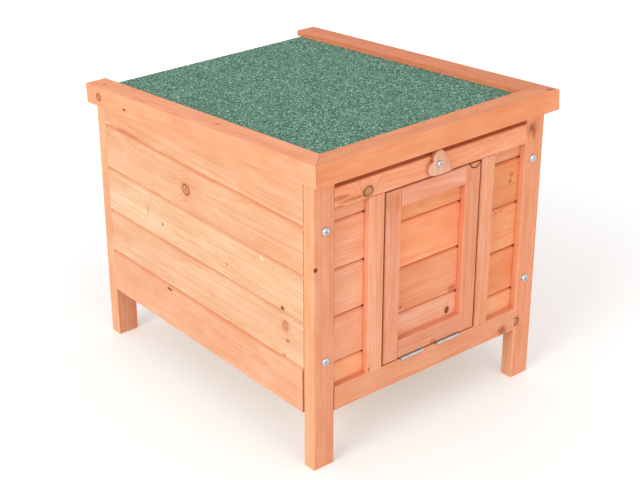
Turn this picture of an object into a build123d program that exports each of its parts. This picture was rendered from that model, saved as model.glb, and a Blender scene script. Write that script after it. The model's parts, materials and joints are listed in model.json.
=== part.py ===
from build123d import *
import os
from math import cos, radians, sin, sqrt, tan

os.makedirs("parts", exist_ok=True)

# Rabbit hutch. Millimetres. X runs to the right seen from the front, Y to the
# back, Z up. The origin is on the ground under the middle of the roof.

# ---------------------------------------------------------------- driving sizes
# Overall
roof_width = 415.0
roof_depth = 512.0
overall_height = 432.0
roof_pitch = 4.2
front_overhang_length = 17.0
back_overhang_length = 11.0
side_overhang_width = 9.0

# Corner posts, rails and door jambs
post_width = 33.0
post_depth = 20.0
leg_height = 77.5
bottom_rail_height = 34.0
front_top_rail_height = 28.0
vent_gap = 14.5
back_top_rail_height = 34.0
back_rail_lap_height = 5.5
rail_set_back_depth = 0.6
bottom_rail_end_gap = 1.0
jamb_width = 25.0
doorway_width = 168.4
edge_chamfer_width = 1.0
batten_width = 18.0
batten_head_gap = 2.0

# Tongue and groove boards
board_thickness = 8.0
board_recess_depth = 10.0
first_board_height = 63.6
top_board_back_height = 29.8
board_chamfer_width = 3.0
tongue_thickness = 2.2
tongue_height = 4.0
tongue_offset = 4.4
tongue_side_gap = 0.2
tongue_end_gap = 0.5
end_bearing_width = 9.0
rail_bearing_height = 8.5
rebate_gap = 0.5
side_board_gap = 0.3
lowest_board_gap = 3.2

# Floor
floor_thickness = 6.0
floor_gap = 0.5

# Door
door_side_gap = 1.95
door_head_gap = 1.7
door_sill_gap = 2.8
door_thickness = 17.0
door_frame_width = 26.0
door_board_recess_depth = 9.0
door_board_bearing_width = 8.5
door_first_seam_height = 59.3
door_stop_width = 190.0
door_stop_height = 26.0
door_stop_thickness = 8.0
door_stop_lap_height = 10.0

# Butt hinges
door_barrel_radius = 1.9
door_pin_radius = 0.9
roof_barrel_radius = 2.6
roof_pin_radius = 1.25
pin_clearance = 0.05
leaf_thickness = 1.2
knuckle_gap = 0.3
knuckle_count = 3
door_leaf_gap = 0.4
door_barrel_gap = 0.2
door_hinge_length = 40.0
door_hinge_offset = 32.5
door_leaf_width = 16.0
roof_hinge_length = 50.0
roof_hinge_offset = 110.0
roof_leaf_width = 18.0
roof_hinge_hole_spacing = 32.0
leaf_hole_radius = 1.6

# Heart shaped turn button
button_pivot_height = 18.0
button_half_width = 17.8
button_tip_length = 29.0
button_shoulder_angle = 23.0
lobe_radius = 10.0
lobe_height = 3.3
button_thickness = 6.0
button_gap = 0.3
button_chamfer_width = 0.8
button_notch_radius = 1.0
button_rest_angle = 60.0
button_screw_radius = 1.9
button_screw_length = 18.5
button_head_gap = 0.2

# Pan head screws
frame_screw_radius = 2.0
frame_screw_length = 30.0
frame_screw_edge_offset = 18.3
lower_screw_height = 78.7
upper_screw_drop_height = 32.1
screw_clearance = 0.05
frame_head_radius = 5.6
button_head_radius = 4.4
head_height = 2.6
recess_width = 1.1
recess_length = 5.0
recess_depth = 1.4

# Roof lid
lid_gap = 0.3
roof_rail_width = 34.0
roof_rail_height = 28.0
roof_lip_thickness = 8.0
roof_lip_width = 8.0
roof_edge_radius = 1.5
mitre_gap = 0.4
deck_thickness = 9.0
felt_thickness = 1.6
deck_gap = 0.5
back_batten_width = 34.0

# ------------------------------------------------------------- derived places
front_face = front_overhang_length - roof_depth / 2
back_face = roof_depth / 2 - back_overhang_length
front_post_back = front_face + post_depth
back_post_front = back_face - post_depth
side_face = roof_width / 2 - side_overhang_width
post_inner = side_face - post_width
post_centre = side_face - post_width / 2
rail_front = front_face + rail_set_back_depth
front_board_face = front_face + board_recess_depth
back_board_face = back_face - board_recess_depth

# The lid lies on a plane that falls to the back and carries the hinge axis.
# Lid plane coordinates: x across, y down the slope to the back, z out of it.
slope = radians(roof_pitch)
hinge_axis_y = back_face + roof_barrel_radius
lid_front = (-roof_depth / 2 - hinge_axis_y) / cos(slope)
lid_back = (roof_depth / 2 - hinge_axis_y - roof_rail_height * sin(slope)) / cos(slope)
hinge_axis_z = overall_height + lid_front * sin(slope) - roof_rail_height * cos(slope)
lid_plane = Plane(
    origin=(0, hinge_axis_y, hinge_axis_z),
    x_dir=(1, 0, 0),
    z_dir=(0, sin(slope), cos(slope)),
)
seat_plane = lid_plane.offset(-lid_gap)
batten_head_plane = lid_plane.offset(-lid_gap - batten_head_gap)
lip_underside = roof_rail_height - roof_lip_thickness
deck_top = lip_underside - felt_thickness
deck_underside = deck_top - deck_thickness
roof_inner = roof_width / 2 - roof_rail_width
rebate_inner = roof_inner + roof_lip_width


def seat_height(y):
    """Height of the lid's seat above the ground at a place front to back."""
    return hinge_axis_z + (hinge_axis_y - y) * tan(slope) - lid_gap / cos(slope)


# Rails hang from the seat, the boards fill the wall between legs and seat.
bottom_rail_top = leg_height + bottom_rail_height
front_top_rail_top = seat_height(front_face) - vent_gap
doorway_top = front_top_rail_top - front_top_rail_height
back_rail_base = seat_height(back_face) - back_top_rail_height
boards_base = bottom_rail_top - rail_bearing_height
boards_top = doorway_top + rail_bearing_height
back_boards_top = back_rail_base + back_rail_lap_height
first_seam = leg_height + first_board_height
last_seam = seat_height(back_post_front) - top_board_back_height
board_pitch = (last_seam - first_seam) / 3
seams = [first_seam + board_pitch * i for i in range(4)]
jamb_inner = doorway_width / 2
jamb_outer = jamb_inner + jamb_width
bay_board_inner = jamb_outer - end_bearing_width + rebate_gap
bay_board_outer = post_inner + end_bearing_width
batten_inner = side_face - board_thickness - batten_width
batten_outer = side_face - board_thickness
floor_level = leg_height + batten_width
frame_screw_heights = (
    leg_height + lower_screw_height,
    seat_height(back_post_front) - upper_screw_drop_height,
)

# The door hangs on an axis just in front of its bottom edge.
door_width = doorway_width - 2 * door_side_gap
door_base = bottom_rail_top + door_sill_gap
door_top = doorway_top - door_head_gap
door_height = door_top - door_base
door_front = rail_front
door_back = door_front + door_thickness
door_axis_y = door_front - door_barrel_gap - door_barrel_radius
door_axis_z = bottom_rail_top + leaf_thickness + door_leaf_gap / 2
stile_inner = door_width / 2 - door_frame_width
door_board_face = door_front + door_board_recess_depth
door_boards_base = door_base + door_frame_width - door_board_bearing_width
door_boards_top = door_top - door_frame_width + door_board_bearing_width
door_seams = [door_base + door_first_seam_height + board_pitch * i for i in range(3)]
button_height = doorway_top + button_pivot_height

# Sections across the hinge axes: x runs along the leaf, y across its thickness.
door_section = Plane(origin=(0, door_axis_y, door_axis_z), x_dir=(0, 1, 0), z_dir=(1, 0, 0))
roof_fixed_section = Plane(origin=lid_plane.origin, x_dir=(0, 0, -1), z_dir=(1, 0, 0))
roof_moving_section = Plane(origin=lid_plane.origin, x_dir=lid_plane.z_dir, z_dir=(-1, 0, 0))

sides = ((-1, "left"), (1, "right"))


# -------------------------------------------------------------------- helpers
def finish(name, builder):
    """Label one sub-part and write its file."""
    builder.part.label = name
    export_step(builder.part, "parts/" + name + ".step")


def block(x_range, y_range, z_range, mode=Mode.ADD):
    """Rectangular block between two corners."""
    middle = [(low + high) / 2 for low, high in (x_range, y_range, z_range)]
    spans = [abs(high - low) for low, high in (x_range, y_range, z_range)]
    with Locations(tuple(middle)):
        Box(*spans, mode=mode)


def eased_bar(plane, centre, width, height, length):
    """Planed bar with eased long edges, run out from a plane."""
    with BuildSketch(plane) as section:
        with Locations(centre):
            Rectangle(width, height)
        chamfer(section.vertices(), edge_chamfer_width)
    extrude(section.sketch, amount=length)


def board(face_corner, inward, bottom, top, length, grooved, tongued):
    """One board run level from a corner of its outer face.

    The outer edges are chamfered so that two boards meet in a V. A tongue on
    the top edge enters a groove in the bottom edge of the board above.
    """
    inward = Vector(*inward)
    end_plane = Plane(
        origin=face_corner, x_dir=inward, z_dir=inward.cross(Vector(0, 0, 1))
    )
    tongue_front = tongue_offset
    tongue_back = tongue_front + tongue_thickness
    groove_front = tongue_front - tongue_side_gap
    groove_back = tongue_back + tongue_side_gap
    groove_top = bottom + tongue_height + tongue_end_gap
    outline = []
    if grooved:
        outline += [(board_chamfer_width, bottom), (0, bottom + board_chamfer_width)]
    else:
        outline += [(0, bottom)]
    if tongued:
        outline += [(0, top - board_chamfer_width), (board_chamfer_width, top)]
        outline += [(tongue_front, top), (tongue_front, top + tongue_height)]
        outline += [(tongue_back, top + tongue_height), (tongue_back, top)]
    else:
        outline += [(0, top)]
    outline += [(board_thickness, top), (board_thickness, bottom)]
    if grooved:
        outline += [(groove_back, bottom), (groove_back, groove_top)]
        outline += [(groove_front, groove_top), (groove_front, bottom)]
    with BuildSketch(end_plane) as section:
        with BuildLine():
            Polyline(*outline, close=True)
        make_face()
    extrude(section.sketch, amount=length)


def pan_head_screw(seat, radius, length, head_radius):
    """Pan head screw with a cross recess; the plane is the head's underside."""
    with BuildSketch(seat) as rim:
        Circle(head_radius)
    extrude(rim.sketch, amount=head_height)
    with BuildSketch(seat.offset(head_height)) as cross:
        Rectangle(recess_length, recess_width)
        Rectangle(recess_width, recess_length)
    extrude(cross.sketch, amount=-recess_depth, mode=Mode.SUBTRACT)
    with BuildSketch(seat) as shank:
        Circle(radius)
    extrude(shank.sketch, amount=-length)


def hinge_leaves(section, offset, length, barrel, pin, low, high, near, reach, knuckles):
    """One leaf of a pair of butt hinges, with the knuckles rolled on it."""
    clear = barrel + knuckle_gap
    knuckle = (length - (knuckle_count - 1) * knuckle_gap) / knuckle_count
    for centre in (-offset, offset):
        start = centre - length / 2
        with BuildSketch(section.offset(start)) as plate:
            with Locations(((clear + reach) / 2, (low + high) / 2)):
                Rectangle(reach - clear, high - low)
        extrude(plate.sketch, amount=length)
        for number in knuckles:
            place = section.offset(start + number * (knuckle + knuckle_gap))
            with BuildSketch(place) as roll:
                Circle(barrel)
                with Locations(((near + clear) / 2, (low + high) / 2)):
                    Rectangle(clear - near, high - low)
                Circle(pin + pin_clearance, mode=Mode.SUBTRACT)
            extrude(roll.sketch, amount=knuckle)


def leaf_holes(section, offset, pitch, barrel, reach, level):
    """Screw holes, two to a leaf."""
    along = (barrel + knuckle_gap + reach) / 2
    for centre in (-offset, offset):
        for step in (-0.5, 0.5):
            spot = section.from_local_coords((along, level, centre + step * pitch))
            with Locations(Plane(origin=spot, z_dir=section.y_dir)):
                Hole(leaf_hole_radius, depth=leaf_thickness)


def hinge_pins(section, offset, length, pin):
    """The pins of a pair of butt hinges."""
    for centre in (-offset, offset):
        with BuildSketch(section.offset(centre - length / 2)) as end:
            Circle(pin)
        extrude(end.sketch, amount=length)


def roof_section(side):
    """Rail section: full height outside, rebated from below on the inside."""
    outer = side * roof_width / 2
    rebate = side * rebate_inner
    inner = side * roof_inner
    with BuildLine() as outline:
        Polyline(
            (outer, 0),
            (outer, roof_rail_height),
            (inner, roof_rail_height),
            (inner, lip_underside),
            (rebate, lip_underside),
            (rebate, 0),
            close=True,
        )
    make_face(outline.edges())


def mitre_plane(side, shift):
    """Upright plane across a front corner of the lid, facing the back."""
    corner = lid_plane.from_local_coords((side * roof_width / 2, lid_front, 0))
    facing = (lid_plane.x_dir * side + lid_plane.y_dir).normalized()
    return Plane(origin=corner + facing * shift, x_dir=lid_plane.z_dir, z_dir=facing)


# ---------------------------------------------------------------- front frame
for side, word in sides:
    # Post and leg in one, its head cut to the slope of the lid.
    with BuildPart() as front_post:
        post_middle = (side * post_centre, front_face + post_depth / 2)
        eased_bar(Plane.XY, post_middle, post_width, post_depth, overall_height)
        split(bisect_by=seat_plane, keep=Keep.BOTTOM)
        # Rebate that takes the ends of the bay boards
        block(
            (side * post_inner, side * (bay_board_outer + rebate_gap)),
            (front_board_face, front_post_back),
            (boards_base - rebate_gap, boards_top + rebate_gap),
            Mode.SUBTRACT,
        )
        for height in frame_screw_heights:
            drill = Plane(
                origin=(side * (side_face - frame_screw_edge_offset), front_face, height),
                z_dir=(0, -1, 0),
            )
            with Locations(drill):
                Hole(frame_screw_radius + screw_clearance, depth=post_depth)
    finish("front_" + word + "_post", front_post)

rail_middle = (rail_front + front_post_back) / 2
rail_thickness = front_post_back - rail_front

with BuildPart() as front_top_rail:
    eased_bar(
        Plane.YZ.offset(-post_inner),
        (rail_middle, doorway_top + front_top_rail_height / 2),
        rail_thickness,
        front_top_rail_height,
        2 * post_inner,
    )
    for side, word in sides:
        block(
            (side * (bay_board_inner - rebate_gap), side * post_inner),
            (front_board_face, front_post_back),
            (doorway_top, boards_top + rebate_gap),
            Mode.SUBTRACT,
        )
    # Pilot hole for the turn button's screw
    with Locations(Plane(origin=(0, rail_front, button_height), z_dir=(0, -1, 0))):
        Hole(button_screw_radius + screw_clearance, depth=button_screw_length - button_thickness)
finish("front_top_rail", front_top_rail)

with BuildPart() as front_bottom_rail:
    eased_bar(
        Plane.YZ.offset(-post_inner + bottom_rail_end_gap),
        (rail_middle, leg_height + bottom_rail_height / 2),
        rail_thickness,
        bottom_rail_height,
        2 * post_inner - bottom_rail_end_gap,
    )
    for side, word in sides:
        block(
            (side * (bay_board_inner - rebate_gap), side * post_inner),
            (front_board_face, front_post_back),
            (boards_base - rebate_gap, bottom_rail_top),
            Mode.SUBTRACT,
        )
finish("front_bottom_rail", front_bottom_rail)

for side, word in sides:
    with BuildPart() as front_jamb:
        eased_bar(
            Plane.XY.offset(bottom_rail_top),
            (side * (jamb_inner + jamb_width / 2), rail_middle),
            jamb_width,
            rail_thickness,
            doorway_top - bottom_rail_top,
        )
        block(
            (side * (bay_board_inner - rebate_gap), side * jamb_outer),
            (front_board_face, front_post_back),
            (bottom_rail_top, doorway_top),
            Mode.SUBTRACT,
        )
    finish("front_" + word + "_jamb", front_jamb)

# Bay boards, one course at a time, left and right of the doorway
front_levels = [boards_base] + seams + [boards_top]
for course in range(5):
    with BuildPart() as front_boards:
        board(
            (bay_board_inner, front_board_face, 0),
            (0, 1, 0),
            front_levels[course],
            front_levels[course + 1],
            bay_board_outer - bay_board_inner,
            grooved=course > 0,
            tongued=course < 4,
        )
        mirror(about=Plane.YZ)
    finish("front_boards_" + str(course + 1), front_boards)

with BuildPart() as door_stop:
    eased_bar(
        Plane.YZ.offset(-door_stop_width / 2),
        (
            front_post_back + door_stop_thickness / 2,
            doorway_top - door_stop_lap_height + door_stop_height / 2,
        ),
        door_stop_thickness,
        door_stop_height,
        door_stop_width,
    )
finish("door_stop", door_stop)

# ----------------------------------------------------------------- back frame
for side, word in sides:
    with BuildPart() as back_post:
        post_middle = (side * post_centre, back_face - post_depth / 2)
        eased_bar(Plane.XY, post_middle, post_width, post_depth, overall_height)
        split(bisect_by=seat_plane, keep=Keep.BOTTOM)
        block(
            (side * post_inner, side * (bay_board_outer + rebate_gap)),
            (back_post_front, back_board_face),
            (boards_base - rebate_gap, back_boards_top + rebate_gap),
            Mode.SUBTRACT,
        )
        for height in frame_screw_heights:
            drill = Plane(
                origin=(side * (side_face - frame_screw_edge_offset), back_face, height),
                z_dir=(0, 1, 0),
            )
            with Locations(drill):
                Hole(frame_screw_radius + screw_clearance, depth=post_depth)
    finish("back_" + word + "_post", back_post)

with BuildPart() as back_top_rail:
    eased_bar(
        Plane.YZ.offset(-post_inner),
        (back_face - post_depth / 2, back_rail_base + back_top_rail_height),
        post_depth,
        2 * back_top_rail_height,
        2 * post_inner,
    )
    split(bisect_by=seat_plane, keep=Keep.BOTTOM)
    block(
        (-post_inner, post_inner),
        (back_post_front, back_board_face),
        (back_rail_base, back_boards_top + rebate_gap),
        Mode.SUBTRACT,
    )
finish("back_top_rail", back_top_rail)

with BuildPart() as back_bottom_rail:
    eased_bar(
        Plane.YZ.offset(-post_inner),
        (back_face - post_depth / 2, leg_height + bottom_rail_height / 2),
        post_depth,
        bottom_rail_height,
        2 * post_inner,
    )
    block(
        (-post_inner, post_inner),
        (back_post_front, back_board_face),
        (boards_base - rebate_gap, bottom_rail_top),
        Mode.SUBTRACT,
    )
finish("back_bottom_rail", back_bottom_rail)

back_levels = [boards_base] + seams[:3] + [back_boards_top]
for course in range(4):
    with BuildPart() as back_board:
        board(
            (bay_board_outer, back_board_face, 0),
            (0, -1, 0),
            back_levels[course],
            back_levels[course + 1],
            2 * bay_board_outer,
            grooved=course > 0,
            tongued=course < 3,
        )
    finish("back_board_" + str(course + 1), back_board)

# ---------------------------------------------------------------- side panels
side_levels = [leg_height] + seams + [overall_height]
for side, word in sides:
    for course in range(5):
        front_end = front_post_back + (side_board_gap if course else lowest_board_gap)
        back_end = back_post_front - side_board_gap
        first_end = front_end if side > 0 else back_end
        with BuildPart() as side_board:
            board(
                (side * side_face, first_end, 0),
                (-side, 0, 0),
                side_levels[course],
                side_levels[course + 1],
                back_end - front_end,
                grooved=course > 0,
                tongued=course < 4,
            )
            # The top board is tapered to the slope of the lid.
            split(bisect_by=seat_plane, keep=Keep.BOTTOM)
        finish(word + "_board_" + str(course + 1), side_board)

# Battens in the four corners hold the side boards and take the frame screws.
for name, batten_start, drill_face, inward in (
    ("front_corner_battens", front_post_back, front_post_back, 1),
    ("back_corner_battens", back_post_front - batten_width, back_post_front, -1),
):
    with BuildPart() as corner_battens:
        for side, word in sides:
            block(
                (side * batten_inner, side * batten_outer),
                (batten_start, batten_start + batten_width),
                (leg_height, overall_height),
            )
            for height in frame_screw_heights:
                drill = Plane(
                    origin=(side * (side_face - frame_screw_edge_offset), drill_face, height),
                    z_dir=(0, -inward, 0),
                )
                with Locations(drill):
                    Hole(
                        frame_screw_radius + screw_clearance,
                        depth=frame_screw_length - post_depth + tongue_end_gap,
                    )
        split(bisect_by=batten_head_plane, keep=Keep.BOTTOM)
    finish(name, corner_battens)

# ---------------------------------------------------------------------- floor
for side, word in sides:
    with BuildPart() as floor_batten:
        block(
            (side * batten_inner, side * batten_outer),
            (front_post_back + batten_width, back_post_front - batten_width),
            (leg_height, floor_level),
        )
    finish(word + "_floor_batten", floor_batten)

with BuildPart() as floor_panel:
    floor_half = batten_outer - floor_gap
    floor_front = front_post_back + floor_gap
    floor_back = back_post_front - floor_gap
    notch_width = floor_half - batten_inner + floor_gap
    with BuildSketch(Plane.XY.offset(floor_level)):
        with Locations((0, (floor_front + floor_back) / 2)):
            Rectangle(2 * floor_half, floor_back - floor_front)
        # Corners cut away round the battens
        with Locations((0, (floor_front + floor_back) / 2)):
            with GridLocations(2 * floor_half, floor_back - floor_front, 2, 2):
                Rectangle(2 * notch_width, 2 * batten_width, mode=Mode.SUBTRACT)
    extrude(amount=floor_thickness)
finish("floor_panel", floor_panel)

# ----------------------------------------------------------------------- door
door_middle = (door_front + door_back) / 2
board_pocket = (door_board_face, door_back)
for side, word in sides:
    with BuildPart() as door_stile:
        eased_bar(
            Plane.XY.offset(door_base),
            (side * (door_width - door_frame_width) / 2, door_middle),
            door_frame_width,
            door_thickness,
            door_height,
        )
        block(
            (side * stile_inner, side * (stile_inner + door_board_bearing_width + rebate_gap)),
            board_pocket,
            (door_boards_base - rebate_gap, door_boards_top + rebate_gap),
            Mode.SUBTRACT,
        )
    finish("door_" + word + "_stile", door_stile)

for name, rail_base, pocket_span in (
    ("door_top_rail", door_top - door_frame_width, (0, door_board_bearing_width + rebate_gap)),
    ("door_bottom_rail", door_base, (door_frame_width - door_board_bearing_width - rebate_gap, door_frame_width)),
):
    with BuildPart() as door_rail:
        eased_bar(
            Plane.YZ.offset(-stile_inner),
            (door_middle, rail_base + door_frame_width / 2),
            door_thickness,
            door_frame_width,
            2 * stile_inner,
        )
        block(
            (-stile_inner, stile_inner),
            board_pocket,
            (rail_base + pocket_span[0], rail_base + pocket_span[1]),
            Mode.SUBTRACT,
        )
    finish(name, door_rail)

door_levels = [door_boards_base] + door_seams + [door_boards_top]
door_board_half = stile_inner + door_board_bearing_width
for course in range(4):
    with BuildPart() as door_board:
        board(
            (-door_board_half, door_board_face, 0),
            (0, 1, 0),
            door_levels[course],
            door_levels[course + 1],
            2 * door_board_half,
            grooved=course > 0,
            tongued=course < 3,
        )
    finish("door_board_" + str(course + 1), door_board)

# --------------------------------------------------------------- door hinges
inner_level = door_leaf_gap / 2
outer_level = inner_level + leaf_thickness
wall_middle = (door_pin_radius + pin_clearance + door_barrel_radius) / 2
with BuildPart() as door_hinge_fixed_leaves:
    hinge_leaves(
        door_section, door_hinge_offset, door_hinge_length,
        door_barrel_radius, door_pin_radius,
        -outer_level, -inner_level, wall_middle, door_leaf_width, (0, 2),
    )
finish("door_hinge_fixed_leaves", door_hinge_fixed_leaves)

with BuildPart() as door_hinge_moving_leaves:
    hinge_leaves(
        door_section, door_hinge_offset, door_hinge_length,
        door_barrel_radius, door_pin_radius,
        inner_level, outer_level, wall_middle, door_leaf_width, (1,),
    )
finish("door_hinge_moving_leaves", door_hinge_moving_leaves)

with BuildPart() as door_hinge_pins:
    hinge_pins(door_section, door_hinge_offset, door_hinge_length, door_pin_radius)
finish("door_hinge_pins", door_hinge_pins)

# --------------------------------------------------------------- turn button
button_back = rail_front - button_gap
button_front = button_back - button_thickness
rest_turn = radians(button_rest_angle)
button_plane = Plane(
    origin=(0, button_back, button_height),
    x_dir=(cos(rest_turn), 0, sin(rest_turn)),
    z_dir=(0, -1, 0),
)
lobe_centre = button_half_width - lobe_radius
notch_rise = lobe_height + sqrt(lobe_radius**2 - lobe_centre**2)
shoulder_turn = radians(button_shoulder_angle)
shoulder = (
    lobe_centre + lobe_radius * cos(shoulder_turn),
    lobe_height - lobe_radius * sin(shoulder_turn),
)
with BuildPart() as turn_button:
    with BuildSketch(button_plane) as heart:
        with BuildLine():
            # Round lobe from the notch to the shoulder, bowed flank to the tip
            ThreePointArc((0, notch_rise), (lobe_centre, lobe_height + lobe_radius), shoulder)
            TangentArc(
                shoulder,
                (0, -button_tip_length),
                tangent=(-sin(shoulder_turn), -cos(shoulder_turn)),
            )
            mirror(about=Plane.YZ)
        make_face()
        notch = heart.vertices().sort_by_distance((0, notch_rise))[0]
        fillet(notch, button_notch_radius)
    extrude(amount=button_thickness)
    chamfer(turn_button.faces().sort_by(Axis.Y)[0].edges(), button_chamfer_width)
    with Locations(Plane(origin=(0, button_front, button_height), z_dir=(0, -1, 0))):
        Hole(button_screw_radius + screw_clearance, depth=button_thickness)
finish("turn_button", turn_button)

with BuildPart() as turn_button_screw:
    pan_head_screw(
        Plane(origin=(0, button_front - button_head_gap, button_height), z_dir=(0, -1, 0)),
        button_screw_radius,
        button_screw_length,
        button_head_radius,
    )
finish("turn_button_screw", turn_button_screw)

# --------------------------------------------------------------- frame screws
with BuildPart() as frame_screws:
    for side, word in sides:
        for height in frame_screw_heights:
            for face_y, outward in ((front_face, -1), (back_face, 1)):
                spot = (side * (side_face - frame_screw_edge_offset), face_y, height)
                pan_head_screw(
                    Plane(origin=spot, z_dir=(0, outward, 0)),
                    frame_screw_radius,
                    frame_screw_length,
                    frame_head_radius,
                )
finish("frame_screws", frame_screws)

# ------------------------------------------------------------------- roof lid
for side, word in sides:
    with BuildPart() as roof_side_rail:
        rail_end = Plane(
            origin=lid_plane.from_local_coords((0, lid_back, 0)),
            x_dir=lid_plane.x_dir,
            z_dir=-lid_plane.y_dir,
        )
        with BuildSketch(rail_end) as side_section:
            roof_section(side)
            fillet(side_section.vertices().group_by(Axis.Y)[-1], roof_edge_radius)
        extrude(amount=lid_back - lid_front)
        split(bisect_by=mitre_plane(side, mitre_gap / 2), keep=Keep.TOP)
    finish("roof_" + word + "_rail", roof_side_rail)

with BuildPart() as roof_front_rail:
    # Same section, turned to face the front
    rail_end = Plane(
        origin=lid_plane.from_local_coords((roof_width / 2, lid_front + roof_width / 2, 0)),
        x_dir=-lid_plane.y_dir,
        z_dir=-lid_plane.x_dir,
    )
    with BuildSketch(rail_end) as front_section:
        roof_section(1)
        fillet(front_section.vertices().group_by(Axis.Y)[-1], roof_edge_radius)
    extrude(amount=roof_width)
    for side, word in sides:
        split(bisect_by=mitre_plane(side, -mitre_gap / 2), keep=Keep.BOTTOM)
finish("roof_front_rail", roof_front_rail)

deck_half = rebate_inner - deck_gap
deck_front = lid_front + roof_rail_width - roof_lip_width + deck_gap
felt_back = -roof_barrel_radius
deck_back = felt_back - felt_thickness

with BuildPart() as roof_deck:
    with BuildSketch(lid_plane.offset(deck_underside)):
        with Locations((0, (deck_front + deck_back) / 2)):
            Rectangle(2 * deck_half, deck_back - deck_front)
    extrude(amount=deck_thickness)
finish("roof_deck", roof_deck)

with BuildPart() as roof_felt:
    # Laid over the deck and folded down its back edge
    with BuildSketch(lid_plane.offset(deck_top)):
        with Locations((0, (deck_front + felt_back) / 2)):
            Rectangle(2 * deck_half, felt_back - deck_front)
    extrude(amount=felt_thickness)
    with BuildSketch(lid_plane.offset(deck_underside)):
        with Locations((0, (deck_back + felt_back) / 2)):
            Rectangle(2 * deck_half, felt_thickness)
    extrude(amount=deck_thickness)
finish("roof_felt", roof_felt)

with BuildPart() as roof_back_batten:
    with BuildSketch(lid_plane):
        with Locations((0, felt_back - back_batten_width / 2)):
            Rectangle(2 * rebate_inner, back_batten_width)
    extrude(amount=deck_underside)
finish("roof_back_batten", roof_back_batten)

# --------------------------------------------------------------- roof hinges
roof_leaf_face = leaf_thickness - roof_barrel_radius
with BuildPart() as roof_hinge_fixed_leaves:
    hinge_leaves(
        roof_fixed_section, roof_hinge_offset, roof_hinge_length,
        roof_barrel_radius, roof_pin_radius,
        -roof_barrel_radius, roof_leaf_face, 0, roof_leaf_width, (0, 2),
    )
    leaf_holes(
        roof_fixed_section, roof_hinge_offset, roof_hinge_hole_spacing,
        roof_barrel_radius, roof_leaf_width, roof_leaf_face,
    )
finish("roof_hinge_fixed_leaves", roof_hinge_fixed_leaves)

with BuildPart() as roof_hinge_moving_leaves:
    hinge_leaves(
        roof_moving_section, roof_hinge_offset, roof_hinge_length,
        roof_barrel_radius, roof_pin_radius,
        -roof_barrel_radius, roof_leaf_face, 0, roof_leaf_width, (1,),
    )
    leaf_holes(
        roof_moving_section, roof_hinge_offset, roof_hinge_hole_spacing,
        roof_barrel_radius, roof_leaf_width, roof_leaf_face,
    )
finish("roof_hinge_moving_leaves", roof_hinge_moving_leaves)

with BuildPart() as roof_hinge_pins:
    hinge_pins(roof_fixed_section, roof_hinge_offset, roof_hinge_length, roof_pin_radius)
finish("roof_hinge_pins", roof_hinge_pins)
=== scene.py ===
"""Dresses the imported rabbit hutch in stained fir, green mineral felt and zinc.

It also sets the floor, the world, the lamps and the camera. Lengths are millimetres in the part's own frame
where nothing else is said, and whole-number colours are sRGB, 0 to 255.
"""

import json
from math import atan2, cos, pi, radians, sin, sqrt

import bmesh
import bpy
from mathutils import Matrix, Vector


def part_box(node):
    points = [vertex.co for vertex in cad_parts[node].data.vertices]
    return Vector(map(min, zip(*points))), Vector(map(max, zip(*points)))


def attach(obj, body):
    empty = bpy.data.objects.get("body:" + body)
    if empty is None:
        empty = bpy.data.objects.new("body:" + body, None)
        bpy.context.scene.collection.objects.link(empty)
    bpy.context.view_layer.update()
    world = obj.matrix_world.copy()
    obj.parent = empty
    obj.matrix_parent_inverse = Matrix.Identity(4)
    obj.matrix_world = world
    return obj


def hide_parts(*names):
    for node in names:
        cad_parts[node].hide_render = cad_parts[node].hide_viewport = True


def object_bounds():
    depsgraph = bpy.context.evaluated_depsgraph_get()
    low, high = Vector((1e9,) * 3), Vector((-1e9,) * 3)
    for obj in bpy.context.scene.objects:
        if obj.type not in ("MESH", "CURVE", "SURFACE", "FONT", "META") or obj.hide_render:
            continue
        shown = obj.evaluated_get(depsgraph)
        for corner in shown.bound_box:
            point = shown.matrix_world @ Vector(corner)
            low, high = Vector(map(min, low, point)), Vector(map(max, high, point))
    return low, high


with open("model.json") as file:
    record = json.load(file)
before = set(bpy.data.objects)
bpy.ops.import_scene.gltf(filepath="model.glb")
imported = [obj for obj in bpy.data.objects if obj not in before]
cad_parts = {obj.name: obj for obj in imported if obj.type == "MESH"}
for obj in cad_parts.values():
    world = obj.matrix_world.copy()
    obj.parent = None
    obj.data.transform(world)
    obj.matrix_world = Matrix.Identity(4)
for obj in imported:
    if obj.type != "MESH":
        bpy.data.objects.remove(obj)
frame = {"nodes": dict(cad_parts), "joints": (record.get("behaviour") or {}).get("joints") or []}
cad_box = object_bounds()
nodes = frame["nodes"]
MM = 0.001

LID_SLOPE = radians(4.2)
LID_HINGE = next(joint for joint in frame["joints"] if joint["name"] == "lid_lift")
LID_AXIS = tuple(v / MM for v in LID_HINGE["pos_m"])  # the lid's hinge line


# ------------------------------------------------------------------ colours
def linear(colour):
    """sRGB 0..255 to linear 0..1."""
    out = []
    for c in colour:
        c = c / 255.0
        out.append(c / 12.92 if c <= 0.04045 else ((c + 0.055) / 1.055) ** 2.4)
    return out


def rgba(colour):
    """sRGB 0..255 to a linear colour with alpha."""
    return tuple(linear(colour)) + (1.0,)


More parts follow.
